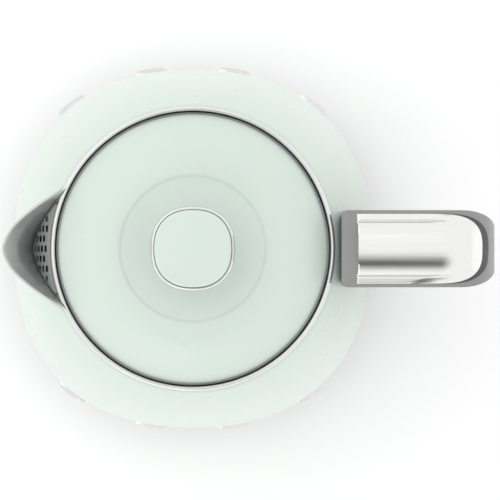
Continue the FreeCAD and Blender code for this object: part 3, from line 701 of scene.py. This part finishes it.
def knob(cap_material, ring_material):
    rows = [superellipse(h, KNOB_POWER, z, 128) for h, z in rounded(KNOB_RING, 0.9, 3)]
    lofted("knob_band", rows + rows[:1], ring_material, body="lid", replaced=("knob_ring",))
    cap = list(KNOB_CAP_SIDE)
    half, foot = KNOB_CAP_SIDE[-1]
    for i in range(1, 14):
        k = i / 13
        cap.append((half * (1 - k) + 0.15 * k,
                    foot + KNOB_CROWN * math.sin(k * math.pi / 2) ** 0.9))
    rows = [superellipse(h, KNOB_POWER, z, 128) for h, z in cap]
    lofted("knob_top", rows, cap_material, caps=(True, True), body="lid",
           replaced=("knob_cap",))


def rim_and_band(bead_material, band_material):
    """Chrome bead round the mouth, and the grey band of the lid that lies just inside it."""
    turned("mouth_bead", BEAD, bead_material, 256, body="kettle", replaced=("rim_ring",),
           sharp=60)
    turned("lid_band", BAND, band_material, 256, body="lid", replaced=("lid_rim_band",),
           sharp=50)


# ---- handle ------------------------------------------------------------------------------
def rounded_copy(node, name, material, body, width, steps=3):
    """The CAD piece again with its sharp edges rounded over."""
    source = nodes[node]
    shape = bmesh.new()
    shape.from_mesh(source.data)
    shape.transform(source.matrix_world)
    bmesh.ops.remove_doubles(shape, verts=shape.verts, dist=1e-6)
    bmesh.ops.dissolve_limit(shape, angle_limit=math.radians(1.0), verts=shape.verts,
                             edges=shape.edges)
    sharp = [e for e in shape.edges if e.is_manifold and e.calc_face_angle() > math.radians(38)]
    bmesh.ops.bevel(shape, geom=sharp, offset=width * MM, segments=steps, profile=0.5,
                    affect="EDGES", clamp_overlap=True)
    mesh = bpy.data.meshes.new(name)
    shape.to_mesh(mesh)
    shape.free()
    obj = bpy.data.objects.new(name, mesh)
    bpy.context.scene.collection.objects.link(obj)
    mesh.materials.append(material)
    soften(obj, 40.0)
    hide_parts(node)
    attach(obj, body)


def nose_fill(x, y, half, nose):
    """1 on the plan outline of a bullet nose, 0 at its middle."""
    along = max(0.0, (x - (nose - NOSE_LENGTH)) / NOSE_LENGTH)
    return (along ** 3 + (abs(y) / half) ** 3) ** (1 / 3)


def over_handle(x, y, height):
    """Point above the handle's outer line: straight along the arm, then round the bend."""
    centre_x, centre_z = HANDLE_X1 - BEND_R, HANDLE_TOP - BEND_R
    if x <= centre_x:
        return (x, y, HANDLE_TOP + height)
    a = math.asin(min(0.999, (x - centre_x) / BEND_R))
    r = BEND_R + height
    return (centre_x + r * math.sin(a), y, centre_z + r * math.cos(a))


def cover_height(x, y):
    """Crowned centre, a groove at the crease, and a lower shoulder each side."""
    radius, crown, groove, shoulder = 27.0, 3.3, 0.12, 0.75
    t = abs(y)
    centre = crown - (radius - math.sqrt(radius ** 2 - min(t, 16.0) ** 2))
    fade = smooth_step(x, *CREASE_ENDS)
    valley = math.exp(-((t - COVER_CREASE) / CREASE_HALF) ** 2) * CREASE_DEPTH * (1 - fade)
    outer = shoulder - 0.11 * (t - COVER_CREASE)
    side = smooth_step(t, COVER_CREASE - 0.3, COVER_CREASE + 0.3) * (1 - fade)
    height = centre * (1 - side) + outer * side - valley
    fill = nose_fill(x, y, COVER_HALF, COVER_NOSE)
    edge = smooth_step(1 - fill, 0.0, 0.42 * smooth_step(x, *NOSE_ROUNDING) + 0.030)
    return groove + (height - groove) * edge ** 0.6


def handle_cover(material):
    rows = []
    along, across = 110, 96
    limit_a = math.asin((COVER_NOSE - HANDLE_X1 + BEND_R) / BEND_R)
    straight = HANDLE_X1 - BEND_R - COVER_X0
    total = straight + BEND_R * limit_a
    stations = [COVER_X0 + END_ROLL * k / 6 for k in range(6)]
    for i in range(along + 1):
        s = END_ROLL + (total - END_ROLL) * min(0.99999, math.sin(math.pi / 2 * i / along))
        stations.append(COVER_X0 + s if s < straight else
                        HANDLE_X1 - BEND_R + BEND_R * math.sin((s - straight) / BEND_R))
    for x in stations:
        reach = max(0.0, 1 - max(0.0, (x - COVER_NOSE + NOSE_LENGTH) / NOSE_LENGTH) ** 3)
        half = COVER_HALF * reach ** (1 / 3)
        row = []
        for j in range(-across, across + 1):
            t = math.sin(math.pi / 2 * j / across)
            y = half * (0.35 * t + 0.65 * j / across)
            start = smooth_step(x, COVER_X0 - 0.1, COVER_X0 + END_ROLL)
            row.append(over_handle(x, y, 0.1 + (cover_height(x, y) - 0.1) * start))
        low = [over_handle(x, half * j / across, -COVER_UNDER)
               for j in range(across, -across - 1, -1)]
        rows.append(row + low)
    lofted("handle_shell", rows, material, caps=(True, True), body="kettle",
           replaced=("handle_cover",), sharp=50)


# ---- tiles -------------------------------------------------------------------------------
def tile(angle):
    """Points and faces of a soft-edged plate that follows the curve of the wall."""
    across, up = 16, 20
    rows = []
    for depth_in in (False, True):
        for i in range(up + 1):
            row = []
            for j in range(across + 1):
                u, v = 2 * j / across - 1, 2 * i / up - 1
                # square grid pulled into a rounded rectangle
                pull = 1 - 0.06 * (u * u) * (v * v)
                turn = TILE_WIDE / 2 * u * pull / TILE_WALL_R * DEGREES_A_RADIAN
                z = TILE_Z + TILE_TALL / 2 * v * pull
                edge = (1 - abs(u) ** 7) * (1 - abs(v) ** 8)
                lift = TILE_EDGE + (TILE_PROUD - TILE_EDGE) * max(0.0, edge) ** 0.4
                row.append(wall_point(angle + math.radians(turn), z,
                                      0.05 if depth_in else -lift))
            rows.append(row)
    width = across + 1
    front = loft_faces(up + 1, width, False)
    offset = (up + 1) * width
    back = [tuple(offset + i for i in reversed(f)) for f in front]
    ring = [j for j in range(width)] + [i * width + across for i in range(1, up + 1)]
    ring += [up * width + j for j in range(across - 1, -1, -1)]
    ring += [i * width for i in range(up - 1, 0, -1)]
    sides = [(ring[i - 1], ring[i], ring[i] + offset, ring[i - 1] + offset)
             for i in range(len(ring))]
    points = [p for row in rows for p in row]
    return points, front + back + sides


def tiles(material):
    for side, node in ((1, "side_badges_left"), (-1, "side_badges_right")):
        points, faces = [], []
        for degrees in TILE_ANGLES:
            tile_points, tile_faces = tile(math.radians(side * degrees))
            base = len(points)
            points += tile_points
            faces += [tuple(base + i for i in face) for face in tile_faces]
        new_piece("chrome_tiles_" + ("left" if side == 1 else "right"), points, faces,
                  material, body="kettle", replaced=(node,))


camera()
studio()
floor()
materials = build_materials()
finish_nodes(materials)
body_wall(materials["mint_paint"])
spout(materials["satin_steel"])
filter_panel(materials["filter_plastic"])
lid_skin(materials["mint_paint"])
knob(materials["mint_paint"], materials["polished_chrome"])
rim_and_band(materials["polished_chrome"], materials["grey_plastic"])
rounded_copy("handle_core", "handle_loop", materials["grey_plastic"], "kettle",
             HANDLE_ROUNDING)
handle_cover(materials["brushed_steel"])
tiles(materials["polished_chrome"])
